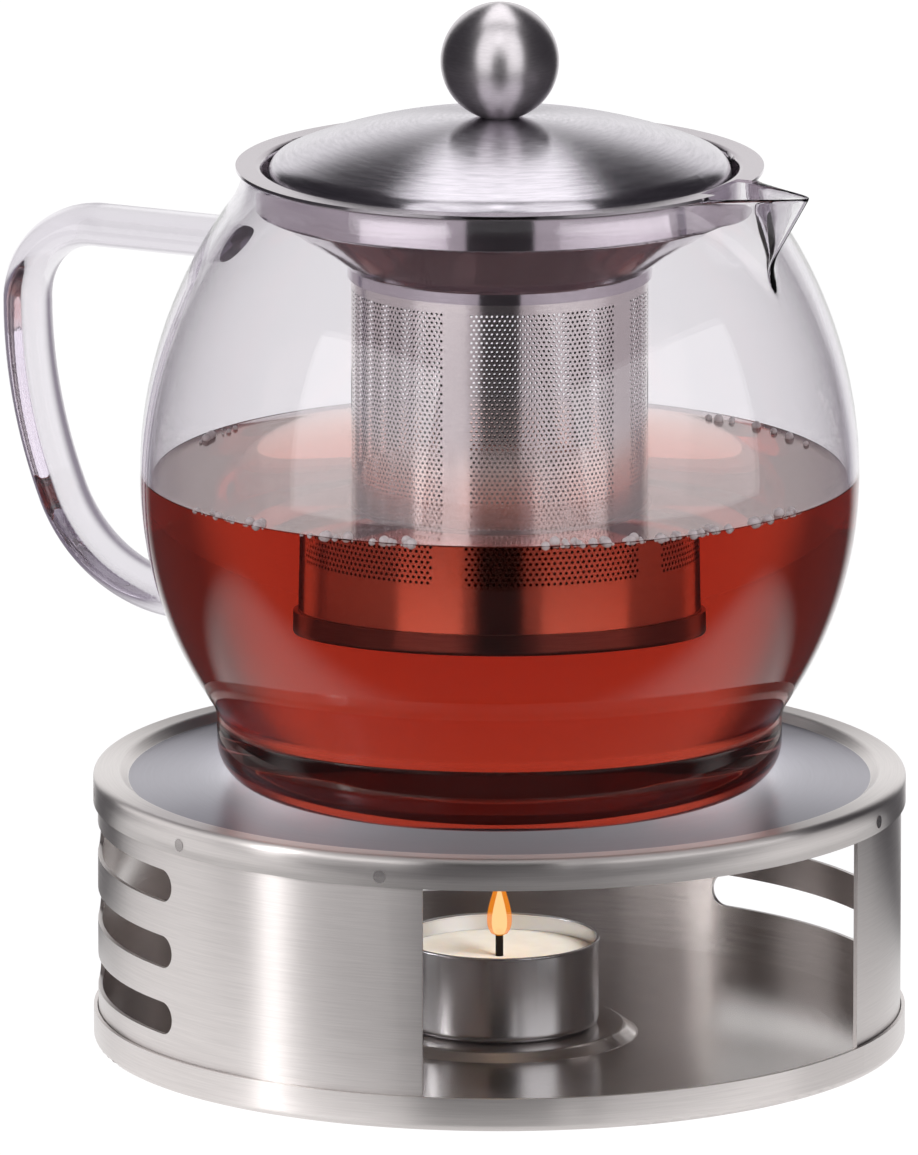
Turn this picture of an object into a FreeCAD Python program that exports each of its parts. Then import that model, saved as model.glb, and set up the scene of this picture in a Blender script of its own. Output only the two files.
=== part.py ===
"""Glass teapot with a steel infuser and a domed steel lid, standing on a steel tealight warmer.

Sizes are millimetres. The origin is the centre of the warmer's underside, +Z points up,
+X points along the pouring spout and -X along the handle.
"""

import FreeCAD
import Part

import math
import os

from FreeCAD import Vector

# Warmer: cap, band and pan
WARMER_RADIUS = 78.3
WARMER_HEIGHT = 53.0
WARMER_SHEET = 0.7
SHEET_BEND = 0.6
BAND_SHEET = 0.8
BAND_GAP = 0.2
CAP_SKIRT = 6.0
CAP_RIM_WIDTH = 5.0
CAP_RIM_SLOPE = 1.8
CAP_RECESS = 1.6
PAN_RIM = 6.5
CANDLE_STEP_RADIUS = 24.0
CANDLE_STEP_RISE = 1.8
CANDLE_STEP_SLOPE = 2.4
WINDOW_BEARING = -37.5
WINDOW_SPAN = 73.0
SLOT_BEARINGS = (100.5, 180.0, 259.5)
SLOT_SPAN = 42.0
SLOT_HEIGHT = 6.3
SLOT_PITCH = 13.0
SLOT_ROWS = 3
WELD_RADIUS = 1.25
WELD_DROP = 4.0
WELD_COUNT = 9
WELD_END_ANGLE = 6.0
WELD_FIT = 0.02

# Tealight
CUP_RADIUS = 19.25
CUP_HEIGHT = 17.2
CUP_SHEET = 0.4
CUP_CORNER = 1.4
CUP_BEAD = 0.35
WAX_DROP = 3.3
WAX_DISH = 0.7
WICK_RADIUS = 0.75
WICK_RISE = 5.2
TAB_RADIUS = 6.5
TAB_SHEET = 0.3
TAB_TUBE = 3.0
TEALIGHT_FIT = 0.05

# Glass pot
GLASS_HEIGHT = 119.4
GLASS_WALL = 2.0
GLASS_BASE = 2.2
BELLY_RADIUS = 69.1
BELLY_HEIGHT = 59.5
NECK_RADIUS = 49.4
NECK_BLEND = 3.0
SHOULDER_DROP = 3.5
FOOT_RADIUS = 54.4
FOOT_HEIGHT = 14.1
FOOT_CORNER = 7.5
FLOOR_CORNER = 5.5
WAIST_BEND = 8.0
PUNT_RADIUS = 43.0
PUNT_RISE = 0.9
SPOUT_REACH = 66.0
SPOUT_HALF_ANGLE = 32.0
SPOUT_UNDERCUT = 0.586
SPOUT_BLEND = 5.0
SPOUT_TIP_ROUND = 1.6
SPOUT_ZONE = 24.0

# Glass handle
HANDLE_TOP = 100.2
HANDLE_FOOT = 28.2
HANDLE_REACH = 102.6
HANDLE_DEPTH = 8.2
HANDLE_WIDTH = 13.2
HANDLE_TOP_BEND = 15.8
HANDLE_SIDE_BEND = 98.0
HANDLE_FOOT_BEND = 30.0

# Infuser
INFUSER_SHEET = 0.6
FLANGE_RADIUS = 50.6
COLLAR_CLEARANCE = 1.2
COLLAR_DEPTH = 8.6
LEDGE_WIDTH = 2.4
FUNNEL_DEPTH = 19.5
NECK_SLEEVE = 2.4
SLEEVE_RADIUS = 28.5
SLEEVE_SHEET = 0.5
SLEEVE_FIT = 0.1
INFUSER_DEPTH = 85.0
BASE_CAP_RIM = 3.0
NOTCH_WIDTH = 15.7
PANEL_COUNT = 5
PANEL_BEARING = 28.0
PANEL_SPAN = 60.0
PANEL_TOP_MARGIN = 4.3
PANEL_BOTTOM_MARGIN = 11.0
HOLE_RADIUS = 1.25
HOLE_COLUMNS = 5
HOLE_ROWS = 9
BASE_HOLE_RINGS = 3
BASE_HOLE_PITCH = 7.0

# Lid and knob
LID_GAP = 1.2
LID_SHEET = 0.6
LID_EDGE_RISE = 0.6
LID_EDGE_BEND = 2.4
DOME_RISE = 8.8
DOME_PAD_RADIUS = 4.5
KNOB_RADIUS = 11.35
KNOB_WALL = 1.0
KNOB_FLAT_RADIUS = 3.6
INSERT_RADIUS = 3.0
INSERT_LENGTH = 9.0
SCREW_RADIUS = 2.0
SCREW_HEAD_RADIUS = 3.8
SCREW_HEAD_HEIGHT = 2.4
SCREW_FIT = 0.05
SCREW_TIP_ROOM = 1.0
DRIVE_WIDTH = 1.0
DRIVE_DEPTH = 1.2
WASHER_RADIUS = 5.0
WASHER_THICKNESS = 0.8

# Heights and radii that follow from the sizes above
POT_SEAT = WARMER_HEIGHT - CAP_RECESS
BAND_RADIUS = WARMER_RADIUS - WARMER_SHEET - BAND_GAP
CANDLE_SEAT = CANDLE_STEP_RISE + WARMER_SHEET
WAX_TOP = CANDLE_SEAT + CUP_HEIGHT - WAX_DROP
RIM = POT_SEAT + GLASS_HEIGHT
FLANGE_TOP = RIM + INFUSER_SHEET
COLLAR_RADIUS = NECK_RADIUS - GLASS_WALL - COLLAR_CLEARANCE
LEDGE_TOP = FLANGE_TOP - COLLAR_DEPTH + INFUSER_SHEET
FUNNEL_NECK_RADIUS = SLEEVE_RADIUS + SLEEVE_FIT + INFUSER_SHEET
SLEEVE_TOP = FLANGE_TOP - FUNNEL_DEPTH
SLEEVE_BOTTOM = FLANGE_TOP - INFUSER_DEPTH + INFUSER_SHEET
LID_RADIUS = COLLAR_RADIUS - INFUSER_SHEET - LID_GAP
LID_EDGE = FLANGE_TOP + LID_EDGE_RISE
DOME_TOP = LID_EDGE + DOME_RISE
DOME_UNDERSIDE = DOME_TOP - LID_SHEET
UP = Vector(0, 0, 1)
CENTRE = Vector(0, 0, 0)


def at(radius, height):
    """A point of a turned outline."""
    return Vector(radius, 0, height)


def polar(radius, bearing, height=0.0):
    """A point at a bearing about the vertical axis, in degrees from +X."""
    angle = math.radians(bearing)
    return Vector(radius * math.cos(angle), radius * math.sin(angle), height)


def line(start, end):
    return Part.LineSegment(start, end).toShape()


def arc(start, middle, end):
    return Part.Arc(start, middle, end).toShape()


def rounded_path(points, radii):
    """Edges along straight runs, each inner corner rounded to its radius; 0 keeps it sharp."""
    edges = []
    last = points[0]
    for before, corner, after, radius in zip(points, points[1:], points[2:], radii):
        if radius <= 0:
            edges.append(line(last, corner))
            last = corner
            continue
        towards = (before - corner).normalize()
        onwards = (after - corner).normalize()
        half = towards.getAngle(onwards) / 2
        reach = radius / math.tan(half)
        start = corner + towards * reach
        end = corner + onwards * reach
        bisector = (towards + onwards).normalize()
        middle = corner + bisector * (radius / math.sin(half) - radius)
        edges.append(line(last, start))
        edges.append(arc(start, middle, end))
        last = end
    edges.append(line(last, points[-1]))
    return edges


def beside(points, distance):
    """The same run of points moved sideways by a distance, to the left of its direction."""
    normals = []
    for start, end in zip(points, points[1:]):
        along = (end - start).normalize()
        normals.append(Vector(-along.z, 0, along.x))
    moved = [points[0] + normals[0] * distance]
    for corner, first, second in zip(points[1:], normals, normals[1:]):
        bisector = (first + second).normalize()
        moved.append(corner + bisector * (distance / bisector.dot(first)))
    moved.append(points[-1] + normals[-1] * distance)
    return moved


def turned_sheet(points, bends, thickness):
    """A pressed round sheet: one side follows the points, the other lies to their left.

    Each bend is the radius on the inside of its corner.
    """
    near = []
    far = []
    for before, corner, after, bend in zip(points, points[1:], points[2:], bends):
        first = corner - before
        second = after - corner
        turns_left = first.x * second.z - first.z * second.x > 0
        near.append(bend + thickness if turns_left else bend)
        far.append(bend if turns_left else bend + thickness)
    other = beside(points, thickness)
    edges = rounded_path(points, near)
    edges.append(line(points[-1], other[-1]))
    edges += rounded_path(other, far)
    edges.append(line(other[0], points[0]))
    return turned(edges)


def turned(edges):
    """A closed outline in the XZ plane, turned about the vertical axis."""
    outline = Part.Wire(Part.__sortEdges__(edges))
    return Part.Face(outline).revolve(CENTRE, UP, 360)


def ring(inner, outer, bottom, top, start=0.0, span=360.0):
    """A square-edged ring, or a sector of one from a bearing over a span in degrees."""
    corners = [at(inner, bottom), at(outer, bottom), at(outer, top), at(inner, top)]
    face = Part.Face(Part.makePolygon(corners + corners[:1]))
    sector = face.revolve(CENTRE, UP, span)
    sector.rotate(CENTRE, UP, start)
    return sector


def rod(radius, start, end):
    return Part.makeCylinder(radius, (end - start).Length, start, end - start)


def save(name, shape):
    """Writes one sub-part; its solids are checked first."""
    for solid in shape.Solids:
        if not solid.isValid() or solid.Volume <= 0:
            raise ValueError(f"{name} is not a sound solid")
    shape.exportStep(os.path.join("parts", name + ".step"))


# Warmer


def pan():
    """The floor of the warmer, with a turned-up rim and a raised step for the candle."""
    foot = CANDLE_STEP_RADIUS + CANDLE_STEP_SLOPE
    points = [
        at(0, CANDLE_STEP_RISE),
        at(CANDLE_STEP_RADIUS, CANDLE_STEP_RISE),
        at(foot, 0),
        at(WARMER_RADIUS, 0),
        at(WARMER_RADIUS, PAN_RIM),
    ]
    return turned_sheet(points, [SHEET_BEND] * 3, WARMER_SHEET)


def weld_bearings():
    """Spot welds spread round the band, the end ones just inside the window's edges."""
    first = WINDOW_BEARING + WINDOW_SPAN / 2 + WELD_END_ANGLE
    spread = 360.0 - WINDOW_SPAN - 2 * WELD_END_ANGLE
    return [first + spread * i / (WELD_COUNT - 1) for i in range(WELD_COUNT)]


def weld_rods(radius):
    """Short radial rods through the band and the cap's skirt, one at each spot weld."""
    height = WARMER_HEIGHT - WELD_DROP
    inside = BAND_RADIUS - BAND_SHEET
    return [
        rod(radius, polar(inside - 0.5, bearing, height), polar(WARMER_RADIUS + 0.5, bearing, height))
        for bearing in weld_bearings()
    ]


def slot(bearing, height):
    """One vent slot's cutter: a ring sector with a round rod at each end."""
    inner = BAND_RADIUS - 2 * BAND_SHEET
    outer = BAND_RADIUS + BAND_SHEET
    half = SLOT_HEIGHT / 2
    end_angle = math.degrees(half / BAND_RADIUS)
    span = SLOT_SPAN - 2 * end_angle
    start = bearing - span / 2
    cutter = ring(inner, outer, height - half, height + half, start, span)
    ends = [
        rod(half, polar(inner, start + turn, height), polar(outer, start + turn, height))
        for turn in (0.0, span)
    ]
    return cutter.multiFuse(ends)


def band():
    """The warmer's wall: one strip bent to a C, open at the window, with three sets of vent slots."""
    start = WINDOW_BEARING + WINDOW_SPAN / 2
    strip = ring(
        BAND_RADIUS - BAND_SHEET,
        BAND_RADIUS,
        WARMER_SHEET,
        WARMER_HEIGHT - WARMER_SHEET,
        start,
        360.0 - WINDOW_SPAN,
    )
    middle = (PAN_RIM + WARMER_HEIGHT - CAP_SKIRT) / 2
    lowest = middle - SLOT_PITCH * (SLOT_ROWS - 1) / 2
    slots = [
        slot(WINDOW_BEARING + bearing, lowest + SLOT_PITCH * row)
        for bearing in SLOT_BEARINGS
        for row in range(SLOT_ROWS)
    ]
    return strip.cut(slots + weld_rods(WELD_RADIUS + WELD_FIT))


def cap():
    """The plate the pot stands on: a shallow recess inside a raised rim, with a skirt over the band."""
    recess_radius = WARMER_RADIUS - CAP_RIM_WIDTH - CAP_RIM_SLOPE
    points = [
        at(WARMER_RADIUS, WARMER_HEIGHT - CAP_SKIRT),
        at(WARMER_RADIUS, WARMER_HEIGHT),
        at(WARMER_RADIUS - CAP_RIM_WIDTH, WARMER_HEIGHT),
        at(recess_radius, POT_SEAT),
        at(0, POT_SEAT),
    ]
    plate = turned_sheet(points, [SHEET_BEND] * 3, WARMER_SHEET)
    return plate.cut(weld_rods(WELD_RADIUS + WELD_FIT))


def spot_welds():
    """The weld nuggets that join the cap's skirt to the band, flush with both sheets."""
    between = ring(BAND_RADIUS - BAND_SHEET, WARMER_RADIUS, 0, WARMER_HEIGHT)
    return Part.Compound([between.common(nugget) for nugget in weld_rods(WELD_RADIUS)])


# Tealight


def tealight_cup():
    top = CANDLE_SEAT + CUP_HEIGHT
    points = [
        at(0, CANDLE_SEAT),
        at(CUP_RADIUS, CANDLE_SEAT),
        at(CUP_RADIUS, top - CUP_BEAD),
    ]
    shell = turned_sheet(points, [CUP_CORNER], CUP_SHEET)
    bead = Part.makeTorus(CUP_RADIUS - CUP_SHEET / 2, CUP_BEAD, at(0, top - CUP_BEAD), UP)
    return shell.fuse(bead).removeSplitter()


def wick_tab():
    """The tin disc that holds the wick upright, with a short tube round it."""
    floor = CANDLE_SEAT + CUP_SHEET
    bore = WICK_RADIUS + TEALIGHT_FIT
    disc = ring(bore, TAB_RADIUS, floor, floor + TAB_SHEET)
    tube = ring(bore, bore + TAB_SHEET, floor, floor + TAB_TUBE)
    return disc.fuse(tube).removeSplitter()


def wax():
    """The candle: it fills the cup round the tab and dips where it has melted about the wick."""
    floor = CANDLE_SEAT + CUP_SHEET
    side = CUP_RADIUS - CUP_SHEET - TEALIGHT_FIT
    bottom = floor + TEALIGHT_FIT
    bore = WICK_RADIUS + TEALIGHT_FIT
    tube = bore + TAB_SHEET + TEALIGHT_FIT
    tab_top = floor + TAB_SHEET + TEALIGHT_FIT
    tube_top = floor + TAB_TUBE + TEALIGHT_FIT
    tab_side = TAB_RADIUS + TEALIGHT_FIT
    pool = [at(bore, WAX_TOP - WAX_DISH), at(side / 2, WAX_TOP - WAX_DISH / 3), at(side, WAX_TOP)]
    corners = [
        at(side, WAX_TOP),
        at(side, bottom + CUP_CORNER),
        at(side - CUP_CORNER, bottom),
        at(tab_side, bottom),
        at(tab_side, tab_top),
        at(tube, tab_top),
        at(tube, tube_top),
        at(bore, tube_top),
        at(bore, WAX_TOP - WAX_DISH),
    ]
    edges = [line(start, end) for start, end in zip(corners, corners[1:])]
    edges.append(arc(*pool))
    return turned(edges)


def wick():
    floor = CANDLE_SEAT + CUP_SHEET
    return rod(WICK_RADIUS, at(0, floor), at(0, WAX_TOP - WAX_DISH + WICK_RISE))


# Glass pot


def blend_max(first, second, width):
    """The larger of two lengths, with a smooth hollow where they cross."""
    overlap = max(width - abs(first - second), 0.0)
    return max(first, second) + overlap * overlap / (4 * width)


def meridian(height, inset):
    """The pot's radius at a height above its foot, set in from the outside by a wall.

    Above the belly it is one arc up to the rim, blended into the short upright neck.
    """
    belly = BELLY_RADIUS - inset
    neck = NECK_RADIUS - inset
    rise = GLASS_HEIGHT - BELLY_HEIGHT
    drop = belly - neck + SHOULDER_DROP
    bend = (rise * rise + drop * drop) / (2 * drop)
    above = height - BELLY_HEIGHT
    shoulder = belly - bend + math.sqrt(bend * bend - above * above)
    return blend_max(shoulder, neck, NECK_BLEND)


def pot_radius(angle, height, inset):
    """The pot's radius at an angle from the spout, in degrees, where the lip is drawn out to a beak."""
    half = math.radians(SPOUT_HALF_ANGLE)
    turn = math.hypot(min(abs(angle), 90.0), SPOUT_TIP_ROUND) - SPOUT_TIP_ROUND
    tip = SPOUT_REACH - SPOUT_UNDERCUT * (GLASS_HEIGHT - height) - inset / math.sin(half)
    beak = tip * math.sin(half) / math.sin(math.radians(turn) + half)
    return blend_max(meridian(height, inset), beak, SPOUT_BLEND)


def lip_section(height, inset):
    """A level closed curve round the pot's neck, its points closer together at the spout."""
    count = 48
    points = []
    marks = []
    for i in range(count):
        share = 2 * math.pi * i / count
        angle = math.degrees(share - 0.75 * math.sin(share))
        signed = angle if angle <= 180 else angle - 360
        points.append(polar(pot_radius(signed, height, inset), angle, POT_SEAT + height))
        marks.append(i / count)
    curve = Part.BSplineCurve()
    curve.interpolate(Points=points, PeriodicFlag=True, Parameters=marks + [1.0])
    return Part.Wire(curve.toShape())


def lip_sections(inset):
    """Sections up the neck, closer together towards the rim."""
    steps = 7
    start = GLASS_HEIGHT - SPOUT_ZONE
    return [lip_section(start + SPOUT_ZONE * (1 - (1 - i / steps) ** 1.4), inset) for i in range(steps + 1)]


def side_edges(inset):
    """The pot's side: the round waist above its foot, then two arcs up to the start of the neck.

    Where it is set in by a wall, its waist and lower arc keep the same centres.
    """
    fall = BELLY_HEIGHT - FOOT_HEIGHT
    drop = BELLY_RADIUS - FOOT_RADIUS
    bend = (fall * fall + drop * drop) / (2 * drop)
    centre = at(BELLY_RADIUS - bend, BELLY_HEIGHT)
    reach = bend + WAIST_BEND
    across = FOOT_RADIUS + WAIST_BEND - centre.x
    waist_centre = centre + Vector(across, 0, -math.sqrt(reach * reach - across * across))
    outward = (waist_centre - centre).normalize()
    towards_middle = (Vector(-1, 0, 0) - outward).normalize()
    waist_start = waist_centre - Vector(WAIST_BEND + inset, 0, 0)
    waist_middle = waist_centre + towards_middle * (WAIST_BEND + inset)
    waist_end = centre + outward * (bend - inset)
    half_turn = math.asin(-outward.z) / 2
    lower = centre + Vector(math.cos(half_turn), 0, -math.sin(half_turn)) * (bend - inset)
    widest = at(BELLY_RADIUS - inset, BELLY_HEIGHT)
    top = GLASS_HEIGHT - SPOUT_ZONE
    half_way = (BELLY_HEIGHT + top) / 2
    return [
        arc(waist_start, waist_middle, waist_end),
        arc(waist_end, lower, widest),
        arc(widest, at(meridian(half_way, inset), half_way), at(meridian(top, inset), top)),
    ]


def floor_edges(start, side, corner):
    """The flat of a floor, from a start point outwards, and its round corner up to the side."""
    floor = start.z
    half_turn = corner * (1 - math.sqrt(0.5))
    return [
        line(start, at(side - corner, floor)),
        arc(
            at(side - corner, floor),
            at(side - half_turn, floor + half_turn),
            at(side, floor + corner),
        ),
    ]


def pot_block(inset, foot):
    """One side of the glass as a solid block: a turned body below a lofted neck."""
    top = GLASS_HEIGHT - SPOUT_ZONE
    side = side_edges(inset)
    edges = foot + [line(foot[-1].Vertexes[-1].Point, side[0].Vertexes[0].Point)] + side
    edges.append(line(at(meridian(top, inset), top), at(0, top)))
    edges.append(line(at(0, top), foot[0].Vertexes[0].Point))
    body = turned(edges)
    body.translate(at(0, POT_SEAT))
    neck = Part.makeLoft(lip_sections(inset), True, False)
    return body.multiFuse([neck], 0.001)


def pot_outside():
    """The outer side, with a shallow hollow under the floor inside a flat ring that it stands on."""
    punt = [
        line(at(0, PUNT_RISE), at(PUNT_RADIUS - PUNT_RISE, PUNT_RISE)),
        line(at(PUNT_RADIUS - PUNT_RISE, PUNT_RISE), at(PUNT_RADIUS, 0)),
    ]
    return pot_block(0.0, punt + floor_edges(at(PUNT_RADIUS, 0), FOOT_RADIUS, FOOT_CORNER))


def pot_inside():
    return pot_block(GLASS_WALL, floor_edges(at(0, GLASS_BASE), FOOT_RADIUS - GLASS_WALL, FLOOR_CORNER))


def glass_body():
    """The blown pot: a belly on a short foot, with its lip pulled out to a pouring spout."""
    return pot_outside().cut(pot_inside())


def handle_path():
    """The handle's centre line in the plane of the spout, from the upper weld to the lower one.

    A level bar, a tight bend, a long bend down the side and a shorter one back to the belly.
    """
    top = POT_SEAT + HANDLE_TOP
    foot = POT_SEAT + HANDLE_FOOT
    bar_end = at(-(HANDLE_REACH - HANDLE_TOP_BEND), top)
    elbow = at(-(HANDLE_REACH - HANDLE_TOP_BEND), top - HANDLE_TOP_BEND)
    half = math.sqrt(0.5)
    bend_middle = elbow + Vector(-half, 0, half) * HANDLE_TOP_BEND
    side_start = elbow + Vector(-HANDLE_TOP_BEND, 0, 0)
    side_centre = side_start + Vector(HANDLE_SIDE_BEND, 0, 0)
    fall = side_start.z - foot
    turn = math.asin((fall - HANDLE_FOOT_BEND) / (HANDLE_SIDE_BEND - HANDLE_FOOT_BEND))
    side_end = side_centre + Vector(-math.cos(turn), 0, -math.sin(turn)) * HANDLE_SIDE_BEND
    side_middle = side_centre + Vector(-math.cos(turn / 2), 0, -math.sin(turn / 2)) * HANDLE_SIDE_BEND
    foot_centre = side_end + Vector(math.cos(turn), 0, math.sin(turn)) * HANDLE_FOOT_BEND
    foot_end = foot_centre + Vector(0, 0, -HANDLE_FOOT_BEND)
    mean = (turn + math.pi / 2) / 2
    foot_middle = foot_centre + Vector(-math.cos(mean), 0, -math.sin(mean)) * HANDLE_FOOT_BEND
    inside = FOOT_RADIUS - GLASS_WALL
    return Part.Wire(
        [
            line(at(-inside, top), bar_end),
            arc(bar_end, bend_middle, side_start),
            arc(side_start, side_middle, side_end),
            arc(side_end, foot_middle, foot_end),
            line(foot_end, at(-inside, foot)),
        ]
    )


def glass_handle():
    """A bent glass bar of oval section, its two ends fused to the pot's side."""
    path = handle_path()
    start = path.OrderedVertexes[0].Point
    oval = Part.Ellipse(
        start + Vector(0, HANDLE_WIDTH / 2, 0), start + Vector(0, 0, HANDLE_DEPTH / 2), start
    )
    bar = path.makePipeShell([Part.Wire(oval.toShape())], True, False)
    return bar.cut(pot_outside())


# Infuser


def funnel():
    """The infuser's rim: a flat flange with a pouring notch, a collar, a ledge and a cone to the sleeve."""
    points = [
        at(FUNNEL_NECK_RADIUS, SLEEVE_TOP - NECK_SLEEVE),
        at(FUNNEL_NECK_RADIUS, SLEEVE_TOP),
        at(COLLAR_RADIUS - LEDGE_WIDTH, LEDGE_TOP - INFUSER_SHEET),
        at(COLLAR_RADIUS, LEDGE_TOP - INFUSER_SHEET),
        at(COLLAR_RADIUS, RIM),
        at(FLANGE_RADIUS, RIM),
    ]
    bends = [SHEET_BEND, SHEET_BEND / 2, SHEET_BEND / 2, SHEET_BEND]
    pressed = turned_sheet(points, bends, INFUSER_SHEET)
    length = FLANGE_RADIUS - COLLAR_RADIUS + 1
    start = Vector(COLLAR_RADIUS + SHEET_BEND, -NOTCH_WIDTH / 2, RIM - 1)
    notch = Part.makeBox(length, NOTCH_WIDTH, INFUSER_SHEET + 2, start)
    return pressed.cut(notch)


def sleeve_holes():
    """Radial cutters for the five perforated panels, each row set half a step from the next."""
    inner = SLEEVE_RADIUS - 2 * SLEEVE_SHEET
    outer = SLEEVE_RADIUS + SLEEVE_SHEET
    top = SLEEVE_TOP - PANEL_TOP_MARGIN - HOLE_RADIUS
    bottom = SLEEVE_BOTTOM + PANEL_BOTTOM_MARGIN + HOLE_RADIUS
    column_step = PANEL_SPAN / HOLE_COLUMNS
    cutters = []
    for panel in range(PANEL_COUNT):
        first = PANEL_BEARING + 360.0 * panel / PANEL_COUNT - PANEL_SPAN / 2
        for row in range(HOLE_ROWS):
            height = bottom + (top - bottom) * row / (HOLE_ROWS - 1)
            shift = 0.25 if row % 2 else 0.75
            for column in range(HOLE_COLUMNS):
                bearing = first + column_step * (column + shift)
                cutters.append(rod(HOLE_RADIUS, polar(inner, bearing, height), polar(outer, bearing, height)))
    return cutters


def sleeve():
    """The basket's wall, a thin tube with five perforated panels between plain strips."""
    tube = ring(SLEEVE_RADIUS - SLEEVE_SHEET, SLEEVE_RADIUS, SLEEVE_BOTTOM, SLEEVE_TOP)
    return tube.cut(Part.Compound(sleeve_holes()))


def base_cap():
    """The basket's perforated floor, with a short rim that holds the foot of the sleeve."""
    outside = SLEEVE_RADIUS + SLEEVE_FIT + INFUSER_SHEET
    floor = SLEEVE_BOTTOM - INFUSER_SHEET
    points = [at(0, floor), at(outside, floor), at(outside, SLEEVE_BOTTOM + BASE_CAP_RIM)]
    pressed = turned_sheet(points, [SLEEVE_FIT], INFUSER_SHEET)
    holes = [rod(HOLE_RADIUS, at(0, floor - 1), at(0, floor + 2))]
    for ring_number in range(1, BASE_HOLE_RINGS + 1):
        count = 6 * ring_number
        for i in range(count):
            place = polar(BASE_HOLE_PITCH * ring_number, 360.0 * i / count, floor - 1)
            holes.append(rod(HOLE_RADIUS, place, place + UP * 3))
    return pressed.cut(holes)


# Lid and knob


def lid():
    """The domed lid, pressed from one sheet, with a straight skirt that stands on the infuser's ledge."""
    dome_run = LID_RADIUS - LID_EDGE_BEND - DOME_PAD_RADIUS
    dome_fall = DOME_RISE - LID_EDGE_BEND / 2
    bend = (dome_run * dome_run + dome_fall * dome_fall) / (2 * dome_fall)
    turn = math.asin(dome_run / bend)
    centre = at(DOME_PAD_RADIUS, DOME_TOP - bend)
    half = turn / 2
    outer_edge = centre + Vector(math.sin(turn), 0, math.cos(turn)) * bend
    outer_half = centre + Vector(math.sin(half), 0, math.cos(half)) * bend
    inner = bend - LID_SHEET
    inner_edge = centre + Vector(math.sin(turn), 0, math.cos(turn)) * inner
    inner_half = centre + Vector(math.sin(half), 0, math.cos(half)) * inner
    bore = SCREW_RADIUS + SCREW_FIT
    shoulder = shoulder_arc(outer_edge, turn, LID_RADIUS)
    lining = shoulder_arc(inner_edge, turn, LID_RADIUS - LID_SHEET)
    edges = [
        line(at(bore, DOME_TOP), at(DOME_PAD_RADIUS, DOME_TOP)),
        arc(at(DOME_PAD_RADIUS, DOME_TOP), outer_half, outer_edge),
        arc(*shoulder),
        line(shoulder[2], at(LID_RADIUS, LEDGE_TOP)),
        line(at(LID_RADIUS, LEDGE_TOP), at(LID_RADIUS - LID_SHEET, LEDGE_TOP)),
        line(at(LID_RADIUS - LID_SHEET, LEDGE_TOP), lining[2]),
        arc(*lining),
        arc(inner_edge, inner_half, at(DOME_PAD_RADIUS, DOME_UNDERSIDE)),
        line(at(DOME_PAD_RADIUS, DOME_UNDERSIDE), at(bore, DOME_UNDERSIDE)),
        line(at(bore, DOME_UNDERSIDE), at(bore, DOME_TOP)),
    ]
    return turned(edges)


def shoulder_arc(start, turn, side):
    """Three points of the round shoulder that leaves the dome at its slope and ends upright at the side."""
    radius = (side - start.x) / (1 - math.sin(turn))
    centre = start - Vector(math.sin(turn), 0, math.cos(turn)) * radius
    mean = (turn + math.pi / 2) / 2
    middle = centre + Vector(math.sin(mean), 0, math.cos(mean)) * radius
    return start, middle, centre + Vector(radius, 0, 0)


def knob_centre():
    return at(0, DOME_TOP + math.sqrt(KNOB_RADIUS**2 - KNOB_FLAT_RADIUS**2))


def knob_ball():
    """The hollow ball, cut flat where it stands on the lid and open there for its insert."""
    centre = knob_centre()
    ball = Part.makeSphere(KNOB_RADIUS, centre).cut(Part.makeSphere(KNOB_RADIUS - KNOB_WALL, centre))
    below = Part.makeBox(4 * KNOB_RADIUS, 4 * KNOB_RADIUS, 2 * KNOB_RADIUS)
    below.translate(Vector(-2 * KNOB_RADIUS, -2 * KNOB_RADIUS, DOME_TOP - 2 * KNOB_RADIUS))
    mouth = rod(INSERT_RADIUS, at(0, DOME_TOP - 1), at(0, DOME_TOP + 2 * KNOB_WALL))
    return ball.cut([below, mouth])


def knob_insert():
    """The tapped bush welded into the ball."""
    bush = rod(INSERT_RADIUS, at(0, DOME_TOP), at(0, DOME_TOP + INSERT_LENGTH))
    bore = rod(SCREW_RADIUS + SCREW_FIT, at(0, DOME_TOP - 1), at(0, DOME_TOP + INSERT_LENGTH - SCREW_TIP_ROOM))
    return bush.cut(bore)


def knob_washer():
    bottom = DOME_UNDERSIDE - WASHER_THICKNESS
    return ring(SCREW_RADIUS + SCREW_FIT, WASHER_RADIUS, bottom, DOME_UNDERSIDE)


def knob_screw():
    """The pan-head screw that holds the knob from inside the lid, with a cross slot in its head."""
    seat = DOME_UNDERSIDE - WASHER_THICKNESS
    head_bottom = seat - SCREW_HEAD_HEIGHT
    tip = DOME_TOP + INSERT_LENGTH - 2 * SCREW_TIP_ROOM
    shank = rod(SCREW_RADIUS, at(0, seat), at(0, tip))
    head = rod(SCREW_HEAD_RADIUS, at(0, head_bottom), at(0, seat))
    lower_edge = [edge for edge in head.Edges if abs(edge.CenterOfMass.z - head_bottom) < 0.01]
    head = head.makeFillet(SCREW_HEAD_HEIGHT / 3, lower_edge)
    length = SCREW_HEAD_RADIUS * 1.2
    slots = []
    for turn in (0, 90):
        bar = Part.makeBox(length, DRIVE_WIDTH, DRIVE_DEPTH)
        bar.translate(Vector(-length / 2, -DRIVE_WIDTH / 2, head_bottom))
        bar.rotate(CENTRE, UP, turn)
        slots.append(bar)
    return shank.fuse(head).cut(slots).removeSplitter()


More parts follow.
